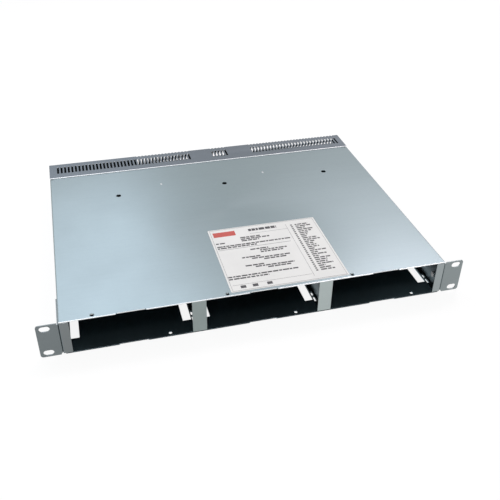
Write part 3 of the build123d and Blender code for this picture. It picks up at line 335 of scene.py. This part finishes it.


# Colours of the metals. The right side's are lighter: the same zinc with painted light on the right and
# painted shade on the left.

ZINC = (0.236, 0.290, 0.308)
ZINC_REAR = (0.130, 0.152, 0.173)
# Painted shade: the darker colour of the faces and sheets within the shelf.
INSIDE_PAINTED_SHADE = (0.135, 0.180, 0.200)
# Painted sheen: a lighter teal on the tray's inner faces.
TRAY_INSIDE_PAINTED_SHEEN = (0.30, 0.42, 0.47)
# Painted highlight: near-white on the cut front edges of cover and rear strip, and on a thin band of their
# tops behind these.
EDGE_PAINTED_HIGHLIGHT = (0.88, 0.90, 0.92)
SHADED_CUT = (0.03, 0.035, 0.04)
TAB_CUT = (0.50, 0.53, 0.54)
FLANGE_LEFT_PAINTED_SHADE = (0.190, 0.208, 0.212)
FLANGE_RIGHT_PAINTED_LIGHT = (0.310, 0.346, 0.352)
POST_LEFT_PAINTED_SHADE = (0.295, 0.342, 0.338)
POST_RIGHT_PAINTED_LIGHT = (0.43, 0.485, 0.48)
EAR_LEFT_PAINTED_SHADE = (0.19, 0.215, 0.222)
EAR_RIGHT_PAINTED_LIGHT = (0.268, 0.302, 0.308)
SHEET_ROUGH = 0.40       # roughness of tray, front plates and ears


def dress():
    """Give each CAD node its material: its own, or else that of its slot in the record."""
    # The cover's end flanges: painted light on the right, painted shade on the left.
    flanges = [(front_face(*FLANGE_FRONT, -1), FLANGE_LEFT_PAINTED_SHADE), (front_face(*FLANGE_FRONT, 1), FLANGE_RIGHT_PAINTED_LIGHT)]
    # Painted highlight along the cover's front edge.
    cover_edge_highlights = [(front_face(*COVER_FRONT), EDGE_PAINTED_HIGHLIGHT), (front_margin(COVER_MARGIN), EDGE_PAINTED_HIGHLIGHT)]
    # Painted shade on the cover's inner faces.
    cover = sheet_steel("zinc_cover", ZINC, 0.30, fields=cover_edge_highlights + flanges, painted_shade_inside=inner_faces(-1),
                        zone=cover_edges)
    # The tray: painted sheen on its inner faces, painted shade on its cut front edge.
    tray = sheet_steel("zinc_tray", ZINC, SHEET_ROUGH,
                       fields=[(inner_faces(1), TRAY_INSIDE_PAINTED_SHEEN), (front_face(*TRAY_FRONT), SHADED_CUT)])
    # The inner sheets: painted shade in their darker colour.
    inner = sheet_steel("zinc_inner_painted_shade", INSIDE_PAINTED_SHADE, 0.38, fields=[(tab_ends, TAB_CUT)])
    # The posts: painted light on the right, painted shade on the left.
    post_left = sheet_steel("zinc_post_left_painted_shade", POST_LEFT_PAINTED_SHADE, SHEET_ROUGH)
    post_right = sheet_steel("zinc_post_right_painted_light", POST_RIGHT_PAINTED_LIGHT, SHEET_ROUGH)
    # Painted highlight along the rear strip's front edge.
    rear_edge_highlights = [(front_face(*REAR_FRONT), EDGE_PAINTED_HIGHLIGHT), (front_margin(REAR_MARGIN), EDGE_PAINTED_HIGHLIGHT)]
    # Painted shade on the rear strip's inner faces.
    rear = sheet_steel("zinc_rear", ZINC_REAR, 0.42, fields=rear_edge_highlights, painted_shade_inside=inner_faces(-1), edge=REAR_EDGE)
    # The ears: painted light on the right, painted shade on the left.
    ear = sheet_steel("zinc_ear_left_painted_shade", EAR_LEFT_PAINTED_SHADE, SHEET_ROUGH)
    ear_right = sheet_steel("zinc_ear_right_painted_light", EAR_RIGHT_PAINTED_LIGHT, SHEET_ROUGH)
    fixing = plain_metal("zinc_fixing", (0.60, 0.61, 0.62), 0.32)
    brass = plain_metal("nickel_brass", (0.72, 0.66, 0.50), 0.28)
    copper = plain_metal("tinned_copper", (0.74, 0.73, 0.70), 0.34)
    nickel = plain_metal("nickel_shell", (0.68, 0.68, 0.68), 0.22)
    black = moulded("black_moulding", (0.018, 0.018, 0.020), 0.42)
    white = moulded("white_moulding", (0.72, 0.71, 0.66), 0.40)
    board = circuit_board("board_mask")
    slots = {
        "zinc_steel": inner, "rear_steel": rear, "ear_steel": ear, "fixings": fixing, "board": board,
        "brass_parts": brass, "black_plastic": black, "white_plastic": white, "tinned_copper": copper,
        "plated_shell": nickel, "brown_lead": moulded("brown_lead", (0.36, 0.05, 0.03), 0.3),
        "blue_lead": moulded("blue_lead", (0.05, 0.12, 0.45), 0.3),
        "green_lead": moulded("green_lead", (0.45, 0.62, 0.05), 0.3),
        "label": printed_film("label_film", FILM_WHITE),
    }
    own = {"top_cover": cover, "base_tray": tray, "rack_ear_right": ear_right,
           "divider_post_left": post_left, "divider_post_right": post_right}
    for part in frame["record"]["subparts"]:
        name = part["node"]
        node = nodes[name]
        node.data.materials.clear()
        node.data.materials.append(own.get(name) or slots[part["material_slot"]])


# Print on the rating label: plain rules, bars and one field, in fractions of the label

LABEL_RISE = 0.00003     # metres from the film up to the print, so that neither hides the other
PRINT_RULES = [          # x0, x1, y0, y1
    (0.015, 0.985, 0.985, 0.990), (0.015, 0.985, 0.010, 0.015),
    (0.36, 0.71, 0.858, 0.862), (0.03, 0.68, 0.640, 0.646), (0.03, 0.70, 0.090, 0.094),
    (0.712, 0.715, 0.06, 0.94), (0.015, 0.018, 0.015, 0.985), (0.982, 0.985, 0.015, 0.985),
]
LINE = 0.019             # height of a line of print
PRINT_LINES = [          # x0, x1, y, height
    (0.36, 0.62, 0.902, 0.040), (0.03, 0.11, 0.745, 0.018),
    (0.26, 0.44, 0.800, LINE), (0.26, 0.52, 0.772, LINE), (0.26, 0.42, 0.744, LINE),
    (0.03, 0.70, 0.690, LINE), (0.03, 0.38, 0.662, LINE),
    (0.30, 0.46, 0.585, LINE), (0.38, 0.62, 0.556, LINE), (0.38, 0.58, 0.527, LINE),
    (0.20, 0.36, 0.470, LINE), (0.28, 0.62, 0.441, LINE), (0.38, 0.58, 0.412, LINE),
    (0.20, 0.36, 0.340, LINE), (0.28, 0.62, 0.311, LINE), (0.38, 0.58, 0.282, LINE),
    (0.02, 0.62, 0.205, LINE), (0.02, 0.36, 0.172, LINE),
]
BAR_LENGTH = (0.018, 0.055)
BAR_GAP = (0.005, 0.009)
PRINT_SQUARES = [(0.09, 0.07), (0.19, 0.07), (0.31, 0.07)]
SQUARE_WIDTH = 0.045
SQUARE_REACH = (-0.03, 0.008)        # below and above the square's y
SIDE_ROWS = 26           # the list at the right: a mark and a short line in each row
SIDE_TOP = 0.90
SIDE_STEP = 0.031
SIDE_HEIGHT = 0.018
SIDE_MARK = (0.752, 0.770)
SIDE_START = 0.795
SIDE_END = (0.84, 0.95)
COLOUR_FIELD = (0.035, 0.235, 0.865, 0.945)
FILM_WHITE = (0.87, 0.87, 0.835)
RULE_GREY = (0.30, 0.30, 0.30)
PRINT_BLACK = (0.03, 0.03, 0.035)
FIELD_RED = (0.56, 0.07, 0.05)
PRINT_SEED = 4


def label_quads(parts):
    """Mesh data for rectangles given as fractions (x0, x1, y0, y1) of the label's box."""
    low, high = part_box("rating_label")
    width, depth = high[0] - low[0], high[1] - low[1]
    z = high[2] + LABEL_RISE
    points, faces = [], []
    for x0, x1, y0, y1 in parts:
        first = len(points)
        for x, y in ((x0, y0), (x1, y0), (x1, y1), (x0, y1)):
            points.append((low[0] + x * width, low[1] + y * depth, z))
        faces.append(tuple(range(first, first + 4)))
    return points, faces


def print_piece(name, parts, colour):
    """Flat print on the label, in one colour."""
    mesh = bpy.data.meshes.new(name)
    points, faces = label_quads(parts)
    mesh.from_pydata(points, [], faces)
    piece = bpy.data.objects.new(name, mesh)
    scene.collection.objects.link(piece)
    mesh.materials.append(printed_film(name, colour))
    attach(piece, "root")


def dashes(seeded, x0, x1, y, height):
    """One line of print as short bars of uneven length."""
    bars = []
    x = x0
    while x < x1:
        length = min(seeded.uniform(*BAR_LENGTH), x1 - x)
        bars.append((x, x + length, y, y + height))
        x += length + seeded.uniform(*BAR_GAP)
    return bars


def make_label_print():
    """Rules, lines of bars and the field of colour."""
    seeded = random.Random(PRINT_SEED)
    lines = []
    for x0, x1, y, height in PRINT_LINES:
        lines += dashes(seeded, x0, x1, y, height)
    for i in range(SIDE_ROWS):
        y = SIDE_TOP - i * SIDE_STEP
        lines.append((*SIDE_MARK, y, y + SIDE_HEIGHT))
        lines += dashes(seeded, SIDE_START, seeded.uniform(*SIDE_END), y, SIDE_HEIGHT)
    for x, y in PRINT_SQUARES:
        lines.append((x, x + SQUARE_WIDTH, y + SQUARE_REACH[0], y + SQUARE_REACH[1]))
    print_piece("label_rules", PRINT_RULES, RULE_GREY)
    print_piece("label_lines", lines, PRINT_BLACK)
    print_piece("label_field", [COLOUR_FIELD], FIELD_RED)


# Studio

FLOOR_REACH = 12.0       # metres each way from the middle
FLOOR_GLOW = 0.89        # the pale floor as camera, glass and metal see it
FLOOR_SHADE = 0.15       # how much it shows shadows
SKY_RISE = (-0.05, 0.85)             # between these Z values of its direction the world's light grows
SKY_LIGHT = (0.30, 0.46)             # from the first strength to the second
SKY_COLOUR = (0.97, 0.985, 1.0)
AIM = (0.0, 0.17, 0.0)   # where the lamps point
LAMPS = [                # name, place, width, height, power in watts, colour
    ("key", (1.52, 2.06, 2.80), 1.0, 0.6, 37, (1.0, 0.90, 0.94)),
    ("fill", (-0.36, 0.71, 0.70), 1.0, 0.6, 3.2, (0.86, 0.90, 1.0)),
    ("edge", (-0.5, -0.9, 1.6), 0.8, 0.25, 6, (1, 1, 1)),
]


def seen_white(tree):
    """1 for what camera, glass and metal see, 0 for the light that falls on surfaces."""
    path = tree.nodes.new("ShaderNodeLightPath")
    seen = path.outputs["Is Camera Ray"]
    for kind in ("Is Glossy Ray", "Is Transmission Ray"):
        both = tree.nodes.new("ShaderNodeMath")
        both.operation = "ADD"
        both.use_clamp = True
        tree.links.new(seen, both.inputs[0])
        tree.links.new(path.outputs[kind], both.inputs[1])
        seen = both.outputs[0]
    return seen


def make_floor():
    """Pale floor that keeps the object's shadow."""
    z = cad_box[0][2]
    mesh = bpy.data.meshes.new("floor")
    corners = [(x * FLOOR_REACH, y * FLOOR_REACH, z) for x, y in ((-1, -1), (1, -1), (1, 1), (-1, 1))]
    mesh.from_pydata(corners, [], [(0, 1, 2, 3)])
    floor = bpy.data.objects.new("floor", mesh)
    scene.collection.objects.link(floor)
    g = Graph("studio_floor")
    tree = g.tree
    tree.nodes.remove(g.shader)
    matt = tree.nodes.new("ShaderNodeBsdfDiffuse")
    matt.inputs["Color"].default_value = rgba(FLOOR_SHADE, FLOOR_SHADE, FLOOR_SHADE)
    glow = tree.nodes.new("ShaderNodeEmission")
    g.put(glow.inputs["Strength"], g.math("MULTIPLY", seen_white(tree), FLOOR_GLOW))
    both = tree.nodes.new("ShaderNodeAddShader")
    tree.links.new(matt.outputs[0], both.inputs[0])
    tree.links.new(glow.outputs[0], both.inputs[1])
    tree.links.new(both.outputs[0], tree.nodes["Material Output"].inputs["Surface"])
    mesh.materials.append(g.material)


def make_world():
    """Soft light, a little brighter from above; white to the camera, glass and metal."""
    world = bpy.data.worlds.new("studio")
    scene.world = world
    world.use_nodes = True
    tree = world.node_tree
    tree.nodes.clear()

    def add(kind):
        return tree.nodes.new(kind)

    out = add("ShaderNodeOutputWorld")
    soft = add("ShaderNodeBackground")
    white = add("ShaderNodeBackground")
    white.inputs["Strength"].default_value = 1.0
    white.inputs["Color"].default_value = rgba(1, 1, 1)
    coords = add("ShaderNodeTexCoord")
    split = add("ShaderNodeSeparateXYZ")
    tree.links.new(coords.outputs["Generated"], split.inputs[0])
    rise = add("ShaderNodeMapRange")
    for name, value in zip(("From Min", "From Max", "To Min", "To Max"), SKY_RISE + SKY_LIGHT):
        rise.inputs[name].default_value = value
    tree.links.new(split.outputs["Z"], rise.inputs["Value"])
    tree.links.new(rise.outputs["Result"], soft.inputs["Strength"])
    soft.inputs["Color"].default_value = rgba(*SKY_COLOUR)
    pick = add("ShaderNodeMixShader")
    tree.links.new(seen_white(tree), pick.inputs[0])
    tree.links.new(soft.outputs[0], pick.inputs[1])
    tree.links.new(white.outputs[0], pick.inputs[2])
    tree.links.new(pick.outputs[0], out.inputs[0])


def make_lights():
    """Soft boxes that the camera doesn't see."""
    for name, place, width, height, power, colour in LAMPS:
        data = bpy.data.lights.new(name, "AREA")
        data.shape = "RECTANGLE"
        data.size = width
        data.size_y = height
        data.energy = power
        data.color = colour
        lamp = bpy.data.objects.new(name, data)
        lamp.visible_camera = False
        lamp.location = place
        lamp.rotation_euler = (Vector(AIM) - Vector(place)).to_track_quat("-Z", "Y").to_euler()
        scene.collection.objects.link(lamp)


dress()
make_label_print()
make_floor()
make_world()
make_lights()
make_camera()

scene.view_settings.view_transform = "Standard"
